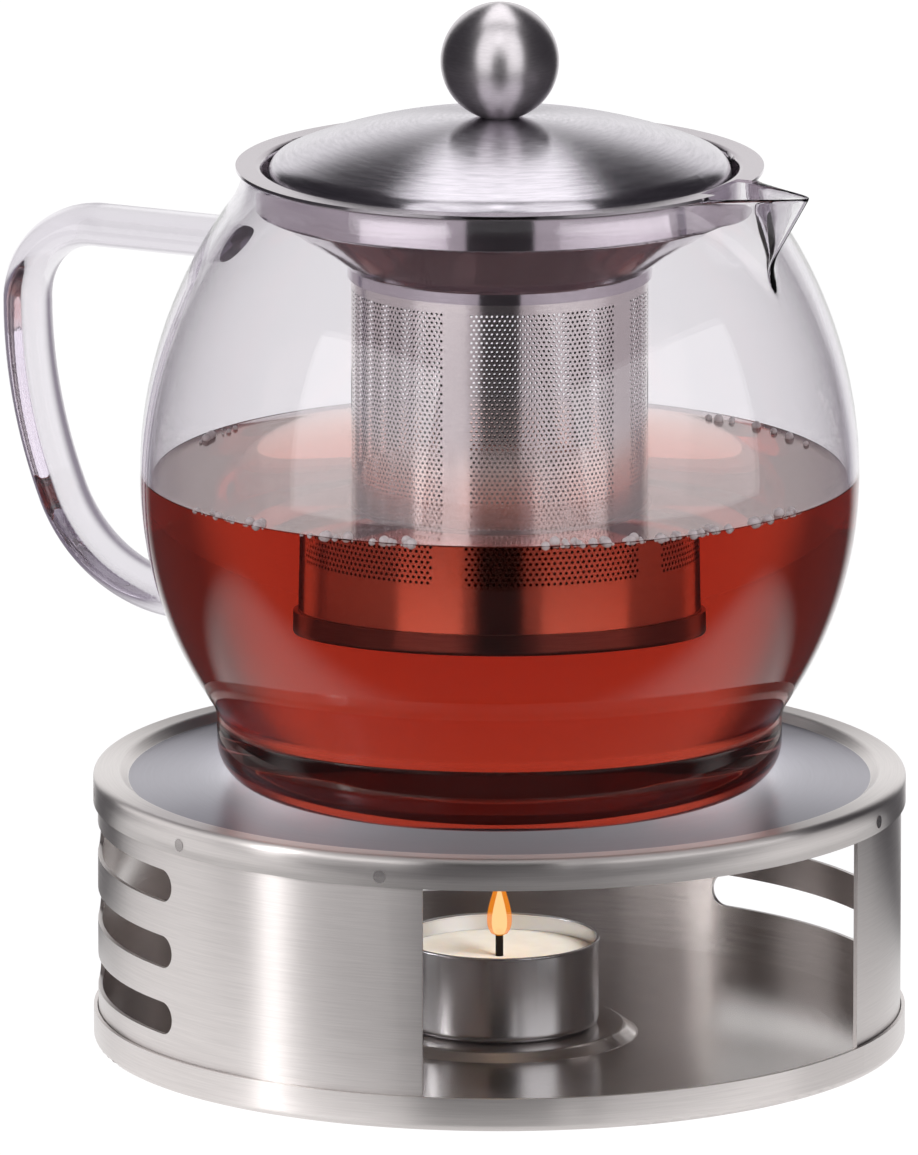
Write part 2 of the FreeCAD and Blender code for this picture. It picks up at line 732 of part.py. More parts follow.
PARTS = {
    "warmer_pan": pan,
    "warmer_band": band,
    "warmer_cap": cap,
    "cap_spot_welds": spot_welds,
    "tealight_cup": tealight_cup,
    "tealight_wax": wax,
    "wick_tab": wick_tab,
    "wick": wick,
    "glass_body": glass_body,
    "glass_handle": glass_handle,
    "infuser_funnel": funnel,
    "infuser_sleeve": sleeve,
    "infuser_base_cap": base_cap,
    "lid_dome": lid,
    "knob_ball": knob_ball,
    "knob_insert": knob_insert,
    "knob_washer": knob_washer,
    "knob_screw": knob_screw,
}


def main():
    os.makedirs("parts", exist_ok=True)
    for name, make in PARTS.items():
        save(name, make())


main()
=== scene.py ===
"""Glass teapot with a steel infuser and lid on a tealight warmer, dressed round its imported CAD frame."""

import math
import random

import bmesh
import bpy
from mathutils import Matrix, Vector


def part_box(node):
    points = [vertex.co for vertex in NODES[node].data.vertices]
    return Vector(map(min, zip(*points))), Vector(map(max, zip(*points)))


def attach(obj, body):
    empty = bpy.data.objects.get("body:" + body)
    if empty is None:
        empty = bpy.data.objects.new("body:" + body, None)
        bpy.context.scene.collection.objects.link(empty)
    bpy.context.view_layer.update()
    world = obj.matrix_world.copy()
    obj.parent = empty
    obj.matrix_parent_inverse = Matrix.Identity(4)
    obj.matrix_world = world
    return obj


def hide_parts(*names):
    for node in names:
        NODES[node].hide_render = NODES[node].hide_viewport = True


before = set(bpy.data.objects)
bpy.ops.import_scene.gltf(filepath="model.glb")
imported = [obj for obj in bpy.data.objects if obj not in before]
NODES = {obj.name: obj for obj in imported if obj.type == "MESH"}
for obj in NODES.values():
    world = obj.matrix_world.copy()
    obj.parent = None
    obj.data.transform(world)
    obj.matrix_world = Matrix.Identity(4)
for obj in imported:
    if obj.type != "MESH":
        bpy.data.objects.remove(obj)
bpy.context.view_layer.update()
MM = 0.001

# Photograph: where the camera stands and how much it takes in
VIEW_AZIMUTH = 27.0
VIEW_ELEVATION = 12.5
CAMERA_DISTANCE = 4.0
CAMERA_FAR_END = 20.0
FRAME_HEIGHT = 222.0 * MM
AIM_LEFT = 7.8 * MM
AIM_HEIGHT = 90.4 * MM
SENSOR = 36.0

# Dim room, as bare steel, clear glass and what lies behind glass find it
ROOM_COLOUR = "38363a"
GLASS_ROOM_COLOUR = "958e99"
INNER_ROOM_COLOUR = "9c969e"
# The floor as steel behind glass finds it: painted room colours, darker near the pot
INNER_FLOOR_NEAR = "46403e"
INNER_FLOOR_FAR = "cac4c8"
INNER_NEAR_REACH = 0.3
INNER_FAR_REACH = 0.42

# White paper behind and under the pot, whose own glow and lit part together come to white
PAPER_COLOUR = "f4f4f4"
PAPER_EDGE = 0.8
PAPER_FULL = 0.93
PAPER_TOP_START = 0.3
PAPER_TOP_END = 0.6
PAPER_NEAR = 0.22
PAPER_NEAR_END = 0.352
PAPER_FRONT_SHARE = 0.3
FLOOR_GLOW = 0.88
FLOOR_WHITE = 1.13
FLOOR_HALF_WIDTH = 3.0
FLOOR_DROP = 0.05 * MM

# Glass pot, as the CAD has it
POT_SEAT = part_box("glass_body")[0].z
GLASS_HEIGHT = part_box("glass_body")[1].z - POT_SEAT
BELLY_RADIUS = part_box("glass_body")[1].y
GLASS_IOR = 1.48
GLASS_TINT = (0.24, 0.12, 0.3, 1.0)
POT_TINT = 56.0
HANDLE_TINT = 24.0
GLASS_WALL = 2.0 * MM
GLASS_BASE = 2.2 * MM
BELLY_HEIGHT = 59.5 * MM
NECK_RADIUS = 49.4 * MM
NECK_BLEND = 3.0 * MM
SHOULDER_DROP = 3.5 * MM
FOOT_RADIUS = 54.4 * MM
FOOT_HEIGHT = 14.1 * MM
FOOT_CORNER = 7.5 * MM
FLOOR_CORNER = 5.5 * MM
WAIST_BEND = 8.0 * MM
PUNT_RADIUS = 43.0 * MM
PUNT_RISE = 0.9 * MM
SPOUT_REACH = 66.0 * MM
SPOUT_HALF_ANGLE = 32.0
SPOUT_UNDERCUT = 0.586
SPOUT_BLEND = 5.0 * MM
SPOUT_TIP_ROUND = 1.6
SPOUT_TIP_WALL = 0.3
SPOUT_THINNED_ANGLE = 8.0
SPOUT_CROWDING = 0.6
LIP_ROUND = 0.8 * MM
WET_MARK = "wet"
POT_SEGMENTS = 240

# Tea
TEA_IOR = 1.333
TEA_TINT = (0.825, 0.3, 0.12, 1.0)
TEA_TINT_DEPTH = 45.0
TEA_LEVEL = 60.0 * MM
TEA_OVERLAP = 0.05 * MM
TEA_FILM_SHARE = 0.34
OPEN_MARK = "open"
MENISCUS = 1.2 * MM
MENISCUS_REACH = 2.5 * MM

# Warmer cap, as the CAD has it, set back a little so that its spot welds show
WARMER_RIM_INSIDE = 73.4 * MM
CAP_RIM_WIDTH = 5.0 * MM
CAP_RIM_SLOPE = 1.8 * MM
CAP_RECESS = 1.6 * MM
CAP_SHEET = 0.7 * MM
CAP_BEND = 0.6 * MM
CAP_SEGMENTS = 360
WELD_STAND = 0.03 * MM
BEND_EDGE = 0.1 * MM

# Infuser sleeve
SLEEVE_COLUMNS = 180
FINE_HOLE_RADIUS = 0.29 * MM
PANEL_COUNT = 5
PANEL_SPAN = 60.0
PANEL_BEARING = 28.0
PANEL_TOP_MARGIN = 4.3 * MM
PANEL_BOTTOM_MARGIN = 11.0 * MM

# Bubbles on the tea, in runs of bearings from the camera with their number
BUBBLE_SEED = 4
BUBBLE_RADIUS = 1.1 * MM
BUBBLE_LEAST = 0.35
BUBBLE_SPREAD = 1.4 * MM
BUBBLE_RUNS = ((-60, -42, 26), (-35, -14, 30), (7, 42, 60), (46, 60, 16), (110, 140, 9), (-140, -115, 8))

# Tealight
DRAW_MARK_WIDTH = 1.1 * MM
DRAW_MARK_LENGTH = 17.0 * MM
WAX_MOTTLE = 4.0 * MM
WICK_FIBRE = 0.33 * MM
FLAME_WIDTH = 5.4 * MM
FLAME_HEIGHT = 12.4 * MM
FLAME_LAP = 1.5 * MM
FLAME_CORE_SHARE = 0.62
FLAME_CORE_RISE = 0.3 * MM
FLAME_BELLY = 0.62
FLAME_FULLNESS = 0.8
FLAME_TAPER = 0.35


def linear(hex_colour):
    """An sRGB hex colour as linear red, green, blue and alpha."""
    channels = [int(hex_colour[i:i + 2], 16) / 255 for i in (0, 2, 4)]
    return tuple(c / 12.92 if c <= 0.04045 else ((c + 0.055) / 1.055) ** 2.4 for c in channels) + (1.0,)


def add(tree, kind, links=None, **settings):
    """Adds a node: settings are its properties, links are its inputs as sockets or values."""
    node = tree.nodes.new(kind)
    for name, value in settings.items():
        setattr(node, name, value)
    for key, value in (links or {}).items():
        if isinstance(value, bpy.types.NodeSocket):
            tree.links.new(value, node.inputs[key])
        else:
            node.inputs[key].default_value = value
    return node


def new_material(name):
    material = bpy.data.materials.new(name)
    material.use_nodes = True
    material.node_tree.nodes.clear()
    return material, material.node_tree


def finish_surface(tree, shader, volume=None):
    output = add(tree, "ShaderNodeOutputMaterial", {"Surface": shader})
    if volume:
        tree.links.new(volume, output.inputs["Volume"])


# Materials


def turned_grain(tree, line_width, run=6.0):
    """Fine lines that run round the vertical axis, as brushing on a lathe leaves them; 0 to 1."""
    place = add(tree, "ShaderNodeTexCoord").outputs["Object"]
    split = add(tree, "ShaderNodeSeparateXYZ", {"Vector": place})
    flat = add(tree, "ShaderNodeCombineXYZ", {"X": split.outputs["X"], "Y": split.outputs["Y"], "Z": 0.0})
    radius = add(tree, "ShaderNodeVectorMath", {0: flat.outputs[0]}, operation="LENGTH")
    heading = add(tree, "ShaderNodeVectorMath", {0: flat.outputs[0]}, operation="NORMALIZE")
    turn = add(tree, "ShaderNodeSeparateXYZ", {"Vector": heading.outputs[0]})
    per_line = 1.0 / line_width
    across = add(tree, "ShaderNodeMath", {0: radius.outputs["Value"], 1: per_line}, operation="MULTIPLY")
    height = add(tree, "ShaderNodeMath", {0: split.outputs["Z"], 1: per_line}, operation="MULTIPLY")
    east = add(tree, "ShaderNodeMath", {0: turn.outputs["X"], 1: run}, operation="MULTIPLY")
    north = add(tree, "ShaderNodeMath", {0: turn.outputs["Y"], 1: run}, operation="MULTIPLY")
    spot = add(
        tree,
        "ShaderNodeCombineXYZ",
        {"X": across.outputs[0], "Y": east.outputs[0], "Z": north.outputs[0]},
    )
    noise = add(
        tree,
        "ShaderNodeTexNoise",
        {"Vector": spot.outputs[0], "W": height.outputs[0], "Scale": 1.0, "Detail": 3.0, "Roughness": 0.6},
        noise_dimensions="4D",
    )
    return noise.outputs["Fac"]


def brushed_steel(name, light, dark, roughness, spread, anisotropy, line_width, depth, backside_colour=None):
    """Stainless steel brushed in turned lines: a soft sheen stretched across the lines.

    Real lines lie about 0.1 mm apart, too fine to show, so line_width is coarser.
    backside_colour is a darker colour for a sheet's inner side.
    """
    material, tree = new_material(name)
    grain = turned_grain(tree, line_width)
    colour = add(
        tree,
        "ShaderNodeMix",
        {"Factor": grain, "A": linear(dark), "B": linear(light)},
        data_type="RGBA",
    )
    if backside_colour:
        inner_side = add(tree, "ShaderNodeNewGeometry").outputs["Backfacing"]
        colour = add(
            tree,
            "ShaderNodeMix",
            {"Factor": inner_side, "A": colour.outputs["Result"], "B": linear(backside_colour)},
            data_type="RGBA",
        )
    rough = add(
        tree,
        "ShaderNodeMapRange",
        {"Value": grain, "To Min": roughness - spread, "To Max": roughness + spread},
    )
    bump = add(tree, "ShaderNodeBump", {"Height": grain, "Strength": 0.3, "Distance": depth})
    tangent = add(tree, "ShaderNodeTangent", direction_type="RADIAL", axis="Z")
    shader = add(
        tree,
        "ShaderNodeBsdfPrincipled",
        {
            "Base Color": colour.outputs["Result"],
            "Metallic": 1.0,
            "Roughness": rough.outputs[0],
            "Anisotropic": anisotropy,
            "Anisotropic Rotation": 0.25,
            "Normal": bump.outputs[0],
            "Tangent": tangent.outputs[0],
        },
    )
    finish_surface(tree, shader.outputs[0])
    return material


def lid_steel():
    """Brushed in circles: the light gathers in two bright fans."""
    return brushed_steel(
        "circular_brushed_steel",
        light="e6e1e8",
        dark="9c97a0",
        roughness=0.24,
        spread=0.07,
        anisotropy=0.9,
        line_width=0.7 * MM,
        depth=0.03 * MM,
    )


def knob_steel():
    """Turned and brushed: a soft bright core between dark sides."""
    return brushed_steel(
        "turned_brushed_steel",
        light="e6e1e4",
        dark="b8b2b6",
        roughness=0.34,
        spread=0.05,
        anisotropy=0.6,
        line_width=0.3 * MM,
        depth=0.01 * MM,
    )


def flange_steel():
    """Satin: an even grey with soft mirror images."""
    return brushed_steel(
        "flange_satin_steel",
        light="bfb6bc",
        dark="aea6ac",
        roughness=0.2,
        spread=0.04,
        anisotropy=0.6,
        line_width=0.3 * MM,
        depth=0.01 * MM,
    )


def band_steel():
    """Brushed along the strip: bright upright streaks under each lamp."""
    return brushed_steel(
        "band_brushed_steel",
        light="ebe5e3",
        dark="cac4c2",
        roughness=0.36,
        spread=0.06,
        anisotropy=0.9,
        line_width=0.3 * MM,
        depth=0.02 * MM,
    )


def shaded_plate_steel():
    """Brushed in circles, with a dull sheen; its darker colour is painted shade."""
    return brushed_steel(
        "plate_steel_painted_shade",
        light="a09da8",
        dark="7e7b86",
        roughness=0.34,
        spread=0.06,
        anisotropy=0.9,
        line_width=0.3 * MM,
        depth=0.02 * MM,
    )


def inner_steel():
    """As it left the rolling mill: brighter and smoother than the brushed side."""
    return brushed_steel(
        "bright_rolled_steel",
        light="dcd6d4",
        dark="c0bab8",
        roughness=0.24,
        spread=0.05,
        anisotropy=0.6,
        line_width=0.4 * MM,
        depth=0.01 * MM,
    )


def sleeve_steel():
    """Satin, darker on its inner side: sharp light and dark streaks down the tube."""
    return brushed_steel(
        "sleeve_satin_steel",
        light="ece6e4",
        dark="d4cdcb",
        roughness=0.2,
        spread=0.01,
        anisotropy=0.6,
        line_width=0.3 * MM,
        depth=0.001 * MM,
        backside_colour="54433c",
    )


def rim_steel():
    """Polished: near a mirror."""
    return brushed_steel(
        "polished_steel",
        light="d6cfd5",
        dark="c6bfc5",
        roughness=0.12,
        spread=0.03,
        anisotropy=0.4,
        line_width=0.4 * MM,
        depth=0.005 * MM,
    )


def clear_glass(name, depth_of_tint):
    """Borosilicate glass: clear, with grey-lavender where the eye looks along the wall.

    Where tea lies against it, the tea's own skin bends the light instead. Lamplight goes straight through.
    """
    material, tree = new_material(name)
    dry = add(
        tree,
        "ShaderNodeBsdfPrincipled",
        {"Base Color": linear("fefefe"), "Roughness": 0.0, "IOR": GLASS_IOR, "Transmission Weight": 1.0},
    )
    wet = add(tree, "ShaderNodeBsdfTransparent", {"Color": linear("ffffff")})
    mark = add(tree, "ShaderNodeAttribute", attribute_name=WET_MARK).outputs["Fac"]
    shadow = add(tree, "ShaderNodeLightPath").outputs["Is Shadow Ray"]
    straight = add(tree, "ShaderNodeMath", {0: mark, 1: shadow}, operation="MAXIMUM")
    shader = add(
        tree,
        "ShaderNodeMixShader",
        {0: straight.outputs[0], 1: dry.outputs[0], 2: wet.outputs[0]},
    )
    body = add(tree, "ShaderNodeVolumeAbsorption", {"Color": GLASS_TINT, "Density": depth_of_tint})
    finish_surface(tree, shader.outputs[0], body.outputs[0])
    return material


def black_tea():
    """Black tea held to the light: red first, dark brown through its full depth.

    Light goes from glass straight into water at the wall, and from air into water at the open surface,
    where the thin film that forms on tea mirrors the room.
    """
    material, tree = new_material("black_tea")
    wall = add(
        tree,
        "ShaderNodeBsdfGlass",
        {"Color": linear("ffffff"), "Roughness": 0.0, "IOR": TEA_IOR / GLASS_IOR},
    )
    surface = add(
        tree,
        "ShaderNodeBsdfGlass",
        {"Color": linear("ffffff"), "Roughness": 0.0, "IOR": TEA_IOR},
    )
    film = add(tree, "ShaderNodeBsdfGlossy", {"Color": linear("f6dfd6"), "Roughness": 0.12})
    top = add(tree, "ShaderNodeMixShader", {0: TEA_FILM_SHARE, 1: surface.outputs[0], 2: film.outputs[0]})
    mark = add(tree, "ShaderNodeAttribute", attribute_name=OPEN_MARK).outputs["Fac"]
    shader = add(tree, "ShaderNodeMixShader", {0: mark, 1: wall.outputs[0], 2: top.outputs[0]})
    body = add(tree, "ShaderNodeVolumeAbsorption", {"Color": TEA_TINT, "Density": TEA_TINT_DEPTH})
    finish_surface(tree, shader.outputs[0], body.outputs[0])
    return material


def drawn_aluminium():
    """Drawn aluminium foil cup: bright, with the fine upright draw marks of pressing."""
    material, tree = new_material("drawn_aluminium")
    place = add(tree, "ShaderNodeTexCoord").outputs["Object"]
    across = 1 / DRAW_MARK_WIDTH
    marks = (across, across, 1 / DRAW_MARK_LENGTH)
    stretch = add(tree, "ShaderNodeMapping", {"Vector": place, "Scale": marks})
    noise = add(tree, "ShaderNodeTexNoise", {"Vector": stretch.outputs[0], "Scale": 1.0, "Detail": 2.0})
    rough = add(
        tree, "ShaderNodeMapRange", {"Value": noise.outputs["Fac"], "To Min": 0.18, "To Max": 0.3}
    )
    shader = add(
        tree,
        "ShaderNodeBsdfPrincipled",
        {"Base Color": linear("d9d9dc"), "Metallic": 1.0, "Roughness": rough.outputs[0]},
    )
    finish_surface(tree, shader.outputs[0])
    return material


def paraffin_wax():
    """Paraffin wax: creamy white, light glows a little way into it, with faint mottling."""
    material, tree = new_material("paraffin_wax")
    place = add(tree, "ShaderNodeTexCoord").outputs["Object"]
    noise = add(tree, "ShaderNodeTexNoise", {"Vector": place, "Scale": 1 / WAX_MOTTLE, "Detail": 3.0})
    colour = add(
        tree,
        "ShaderNodeMix",
        {"Factor": noise.outputs["Fac"], "A": linear("e6dfd2"), "B": linear("f6f1e6")},
        data_type="RGBA",
    )
    shader = add(
        tree,
        "ShaderNodeBsdfPrincipled",
        {
            "Base Color": colour.outputs["Result"],
            "Roughness": 0.45,
            "IOR": 1.43,
            "Subsurface Weight": 0.4,
            "Subsurface Scale": 2.0 * MM,
            "Subsurface Radius": (1.0, 0.7, 0.4),
        },
    )
    finish_surface(tree, shader.outputs[0])
    return material


def charred_cotton():
    """A burnt cotton wick: black, dry and fibrous."""
    material, tree = new_material("charred_cotton")
    place = add(tree, "ShaderNodeTexCoord").outputs["Object"]
    noise = add(tree, "ShaderNodeTexNoise", {"Vector": place, "Scale": 1 / WICK_FIBRE, "Detail": 2.0})
    bump = add(tree, "ShaderNodeBump", {"Height": noise.outputs["Fac"], "Distance": 0.1 * MM})
    shader = add(
        tree,
        "ShaderNodeBsdfPrincipled",
        {"Base Color": linear("17120f"), "Roughness": 0.9, "Normal": bump.outputs[0]},
    )
    finish_surface(tree, shader.outputs[0])
    return material


def tea_bubble_film():
    """Tea bubbles: thin skins, white as foam, with bright rims."""
    material, tree = new_material("tea_bubble_film")
    clear = add(tree, "ShaderNodeBsdfTransparent", {"Color": linear("f7e9e2")})
    foam = add(tree, "ShaderNodeBsdfDiffuse", {"Color": linear("fbf3ee")})
    skin = add(tree, "ShaderNodeMixShader", {0: 0.85, 1: clear.outputs[0], 2: foam.outputs[0]})
    shine = add(tree, "ShaderNodeBsdfGlossy", {"Color": linear("ffffff"), "Roughness": 0.05})
    rim = add(tree, "ShaderNodeFresnel", {"IOR": 1.33})
    mix = add(tree, "ShaderNodeMixShader", {0: rim.outputs[0], 1: skin.outputs[0], 2: shine.outputs[0]})
    finish_surface(tree, mix.outputs[0])
    return material


def candle_flame(name, colour, seen, given, cover):
    """Burning wax vapour: light of its own, thin enough to see through.

    It is seen at one strength and lights its surroundings at another.
    """
    material, tree = new_material(name)
    clear = add(tree, "ShaderNodeBsdfTransparent")
    straight = add(tree, "ShaderNodeLightPath").outputs["Is Camera Ray"]
    strength = add(tree, "ShaderNodeMapRange", {"Value": straight, "To Min": given, "To Max": seen})
    glow = add(tree, "ShaderNodeEmission", {"Color": linear(colour), "Strength": strength.outputs[0]})
    mix = add(tree, "ShaderNodeMixShader", {0: cover, 1: clear.outputs[0], 2: glow.outputs[0]})
    finish_surface(tree, mix.outputs[0])
    return material


# Mesh building


def new_mesh_object(name, points, faces, material, mark=None, marked=None):
    """A smooth mesh of one material; a mark is a face attribute that the material reads."""
    mesh = bpy.data.meshes.new(name)
    mesh.from_pydata(points, [], faces)
    mesh.materials.append(material)
    mesh.polygons.foreach_set("use_smooth", [True] * len(faces))
    if mark:
        mesh.attributes.new(mark, "FLOAT", "FACE").data.foreach_set("value", marked)
    mesh.update()
    obj = bpy.data.objects.new(name, mesh)
    bpy.context.scene.collection.objects.link(obj)
    return obj


def arc_points(centre, radius, start, end, steps):
    """Points of an arc in the outline's plane, angles in degrees from +r towards +z."""
    angles = [math.radians(start + (end - start) * i / steps) for i in range(steps + 1)]
    return [(centre[0] + radius * math.cos(a), centre[1] + radius * math.sin(a)) for a in angles]


def turned_rings(rings, angles, radius_at):
    """Points and faces of a surface turned about the vertical axis.

    Each ring is (radius, height, inset); radius_at may push it out with the angle.
    A ring of no radius is one point on the axis.
    """
    points = []
    starts = []
    for ring in rings:
        starts.append(len(points))
        if ring[0] == 0:
            points.append((0.0, 0.0, ring[1]))
            continue
        for angle in angles:
            radius = radius_at(angle, ring)
            points.append((radius * math.cos(angle), radius * math.sin(angle), ring[1]))
    faces = []
    count = len(angles)
    for ring, start, after, following in zip(rings, starts, rings[1:], starts[1:]):
        for i in range(count):
            j = (i + 1) % count
            if ring[0] == 0:
                faces.append((start, following + j, following + i))
            elif after[0] == 0:
                faces.append((start + i, start + j, following))
            else:
                faces.append((start + i, start + j, following + j, following + i))
    return points, faces


# Pot


def blend_max(first, second, width):
    overlap = max(width - abs(first - second), 0.0)
    return max(first, second) + overlap * overlap / (4 * width)


def bend_radius(rise, drop):
    """Radius of an arc that leaves upright and turns in by a drop over a rise."""
    return (rise * rise + drop * drop) / (2 * drop)


def shoulder_radius(height, inset):
    """The pot's radius above its belly: one arc up to the rim, blended into the short neck."""
    bend = bend_radius(GLASS_HEIGHT - BELLY_HEIGHT, BELLY_RADIUS - NECK_RADIUS + SHOULDER_DROP)
    above = height - BELLY_HEIGHT
    arc = BELLY_RADIUS - inset - bend + math.sqrt(bend * bend - above * above)
    return blend_max(arc, NECK_RADIUS - inset, NECK_BLEND)


def pot_radius(angle, ring):
    """The pot's radius at an angle from the spout: its own, or the beak's where that reaches further.

    The pulled glass thins towards the beak's tip.
    """
    radius, height, inset = ring
    if height < POT_SEAT + BELLY_HEIGHT:
        return radius
    half = math.radians(SPOUT_HALF_ANGLE)
    degrees = abs(math.degrees(math.atan2(math.sin(angle), math.cos(angle))))
    turn = math.hypot(min(degrees, 90.0), SPOUT_TIP_ROUND) - SPOUT_TIP_ROUND
    part = min(degrees / SPOUT_THINNED_ANGLE, 1.0)
    wall = SPOUT_TIP_WALL + (1 / math.sin(half) - SPOUT_TIP_WALL) * part * part * (3 - 2 * part)
    rise = height - POT_SEAT
    tip = SPOUT_REACH - SPOUT_UNDERCUT * (GLASS_HEIGHT - rise) - inset * wall
    beak = tip * math.sin(half) / math.sin(math.radians(turn) + half)
    return blend_max(radius, beak, SPOUT_BLEND)


def spout_angles():
    """Angles round the pot, closer together at the spout."""
    shares = [2 * math.pi * i / POT_SEGMENTS for i in range(POT_SEGMENTS)]
    return [share - SPOUT_CROWDING * math.sin(share) for share in shares]


def shoulder_rings(inset, start, end, steps):
    heights = [start + (end - start) * i / steps for i in range(steps + 1)]
    return [(shoulder_radius(h, inset), h, inset) for h in heights]


def belly_rings(inset):
    """The round waist above the foot and the belly's lower arc, up to the widest place."""
    bend = bend_radius(BELLY_HEIGHT - FOOT_HEIGHT, BELLY_RADIUS - FOOT_RADIUS)
    centre = (BELLY_RADIUS - bend, BELLY_HEIGHT)
    across = FOOT_RADIUS + WAIST_BEND - centre[0]
    fall = math.sqrt((bend + WAIST_BEND) ** 2 - across**2)
    turn = math.degrees(math.atan2(fall, across))
    waist_centre = (FOOT_RADIUS + WAIST_BEND, BELLY_HEIGHT - fall)
    outline = arc_points(waist_centre, WAIST_BEND + inset, 180, 180 - turn, 10)
    outline += arc_points(centre, bend - inset, -turn, 0, 60)[1:]
    return [(r, z, inset) for r, z in outline]


def foot_outside():
    """The underside and the foot's round corner, from the axis out."""
    flat = FOOT_RADIUS - FOOT_CORNER
    outline = [(0.0, PUNT_RISE), (PUNT_RADIUS * 0.5, PUNT_RISE), (PUNT_RADIUS - PUNT_RISE, PUNT_RISE)]
    outline += [(PUNT_RADIUS, 0.0), (flat, 0.0)]
    outline += arc_points((flat, FOOT_CORNER), FOOT_CORNER, -90, 0, 16)[1:]
    return [(r, z, 0.0) for r, z in outline]


def foot_inside(inset):
    """The inner floor and its round corner, from the axis out."""
    grown = GLASS_WALL - inset
    floor = GLASS_BASE - grown
    corner = FLOOR_CORNER + grown
    flat = FOOT_RADIUS - inset - corner
    outline = [(0.0, floor), (flat * 0.5, floor), (flat, floor)]
    outline += arc_points((flat, floor + corner), corner, -90, 0, 16)[1:]
    return [(r, z, inset) for r, z in outline]


def wetted_rings(inset):
    """The inside from the axis of the floor up to the tea's level."""
    edge = shoulder_rings(inset, BELLY_HEIGHT, TEA_LEVEL, 2)[1:]
    return foot_inside(inset) + belly_rings(inset) + edge


def on_seat(rings):
    return [(r, z + POT_SEAT, inset) for r, z, inset in rings]


def lip_rings():
    """The lip's fire-polished edge, from outside to inside."""
    rings = []
    steps = 8
    for i in range(1, steps):
        turn = math.pi * i / steps
        inset = GLASS_WALL * (1 - math.cos(turn)) / 2
        height = GLASS_HEIGHT - LIP_ROUND + LIP_ROUND * math.sin(turn)
        rings.append((shoulder_radius(GLASS_HEIGHT, inset), height, inset))
    return rings


def glass_pot(glass):
    """The blown pot with its pulled spout; its inner wall below the tea line is wetted."""
    straight = GLASS_HEIGHT - LIP_ROUND
    outside = foot_outside() + belly_rings(0.0) + shoulder_rings(0.0, BELLY_HEIGHT, straight, 60)[1:]
    dry = shoulder_rings(GLASS_WALL, TEA_LEVEL, straight, 50)[1:]
    rings = outside + lip_rings() + dry[::-1] + wetted_rings(GLASS_WALL)[::-1]
    points, faces = turned_rings(on_seat(rings), spout_angles(), pot_radius)
    level = POT_SEAT + TEA_LEVEL + 1e-6
    first_inner = len(on_seat(outside)) * POT_SEGMENTS
    wetted = [
        1.0 if min(face) > first_inner and all(points[v][2] <= level for v in face) else 0.0
        for face in faces
    ]
    obj = new_mesh_object("pot_of_blown_glass", points, faces, glass, WET_MARK, wetted)
    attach(obj, "pot")
    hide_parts("glass_body")
    return obj


def tea(material):
    """The tea in the pot, up to its level, with its edge drawn up the glass a little."""
    inset = GLASS_WALL - TEA_OVERLAP
    body = wetted_rings(inset)
    wall = body[-1][0]
    top = []
    steps = 8
    for i in range(1, steps + 1):
        share = i / steps
        sink = MENISCUS * 0.5 * (1 - (1 - share) ** 2)
        top.append((wall - MENISCUS_REACH * share, TEA_LEVEL - sink, inset))
    flat = top[-1][1]
    top += [(wall * 0.7, flat, inset), (wall * 0.35, flat, inset), (0.0, flat, inset)]
    rings = on_seat(body + top)
    count = POT_SEGMENTS
    angles = [2 * math.pi * i / count for i in range(count)]
    points, faces = turned_rings(rings, angles, lambda angle, ring: ring[0])
    first_top = 1 + (len(body) - 1) * count
    lying_open = [1.0 if min(face) >= first_top - count else 0.0 for face in faces]
    obj = new_mesh_object("black_tea", points, faces, material, OPEN_MARK, lying_open)
    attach(obj, "pot")
    return obj


# Warmer


def bent_outline(corners, bends):
    """An outline through these corners, each rounded to its bend.

    A close point on each side of a bend keeps the flats beside it flat to the light.
    """
    steps = 6
    outline = [corners[0]]
    for before, corner, after, bend in zip(corners, corners[1:], corners[2:], bends):
        corner = Vector(corner)
        arrive = (corner - Vector(before)).normalized()
        leave = (Vector(after) - corner).normalized()
        turn = arrive.angle(leave)
        side = (leave - arrive * arrive.dot(leave)).normalized()
        start = corner - arrive * bend * math.tan(turn / 2)
        outline.append(tuple(start - arrive * BEND_EDGE))
        for i in range(steps + 1):
            angle = turn * i / steps
            along = arrive * math.sin(angle) + side * (1 - math.cos(angle))
            outline.append(tuple(start + along * bend))
        outline.append(tuple(Vector(outline[-1]) + leave * BEND_EDGE))
    return outline + [corners[-1]]


def pressed_cap(rim_finish, shaded_plate_finish):
    """The plate the pot stands on, its rim rounded over the band; spot welds show on its skirt."""
    low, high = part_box("warmer_cap")
    radius = high.y - WELD_STAND
    slope_end = CAP_RIM_WIDTH + CAP_RIM_SLOPE
    upper = [
        (radius, low.z),
        (radius, high.z),
        (radius - CAP_RIM_WIDTH, high.z),
        (radius - slope_end, high.z - CAP_RECESS),
        (0.0, high.z - CAP_RECESS),
    ]
    lean = CAP_SHEET * math.tan(math.atan2(CAP_RECESS, CAP_RIM_SLOPE) / 2)
    under = high.z - CAP_SHEET
    lower = [
        (radius - CAP_SHEET, low.z),
        (radius - CAP_SHEET, under),
        (radius - CAP_RIM_WIDTH + lean, under),
        (radius - slope_end + lean, under - CAP_RECESS),
        (0.0, under - CAP_RECESS),
    ]
    outer = CAP_BEND + CAP_SHEET
    outline = bent_outline(lower, (CAP_BEND, CAP_BEND, outer))[::-1]
    outline += bent_outline(upper, (outer, outer, CAP_BEND))
    angles = [2 * math.pi * i / CAP_SEGMENTS for i in range(CAP_SEGMENTS)]
    points, faces = turned_rings([(r, z, 0.0) for r, z in outline], angles, lambda angle, ring: ring[0])
    obj = new_mesh_object("pressed_cap", points, faces, rim_finish)
    obj.data.materials.append(shaded_plate_finish)
    # The upward faces inside the rim take the darker plate finish: painted shade on the one pressed sheet.
    for face in obj.data.polygons:
        if face.normal.z > 0 and face.center.xy.length < radius - slope_end:
            face.material_index = 1
    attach(obj, "warmer")
    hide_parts("warmer_cap")
    return obj


# Infuser


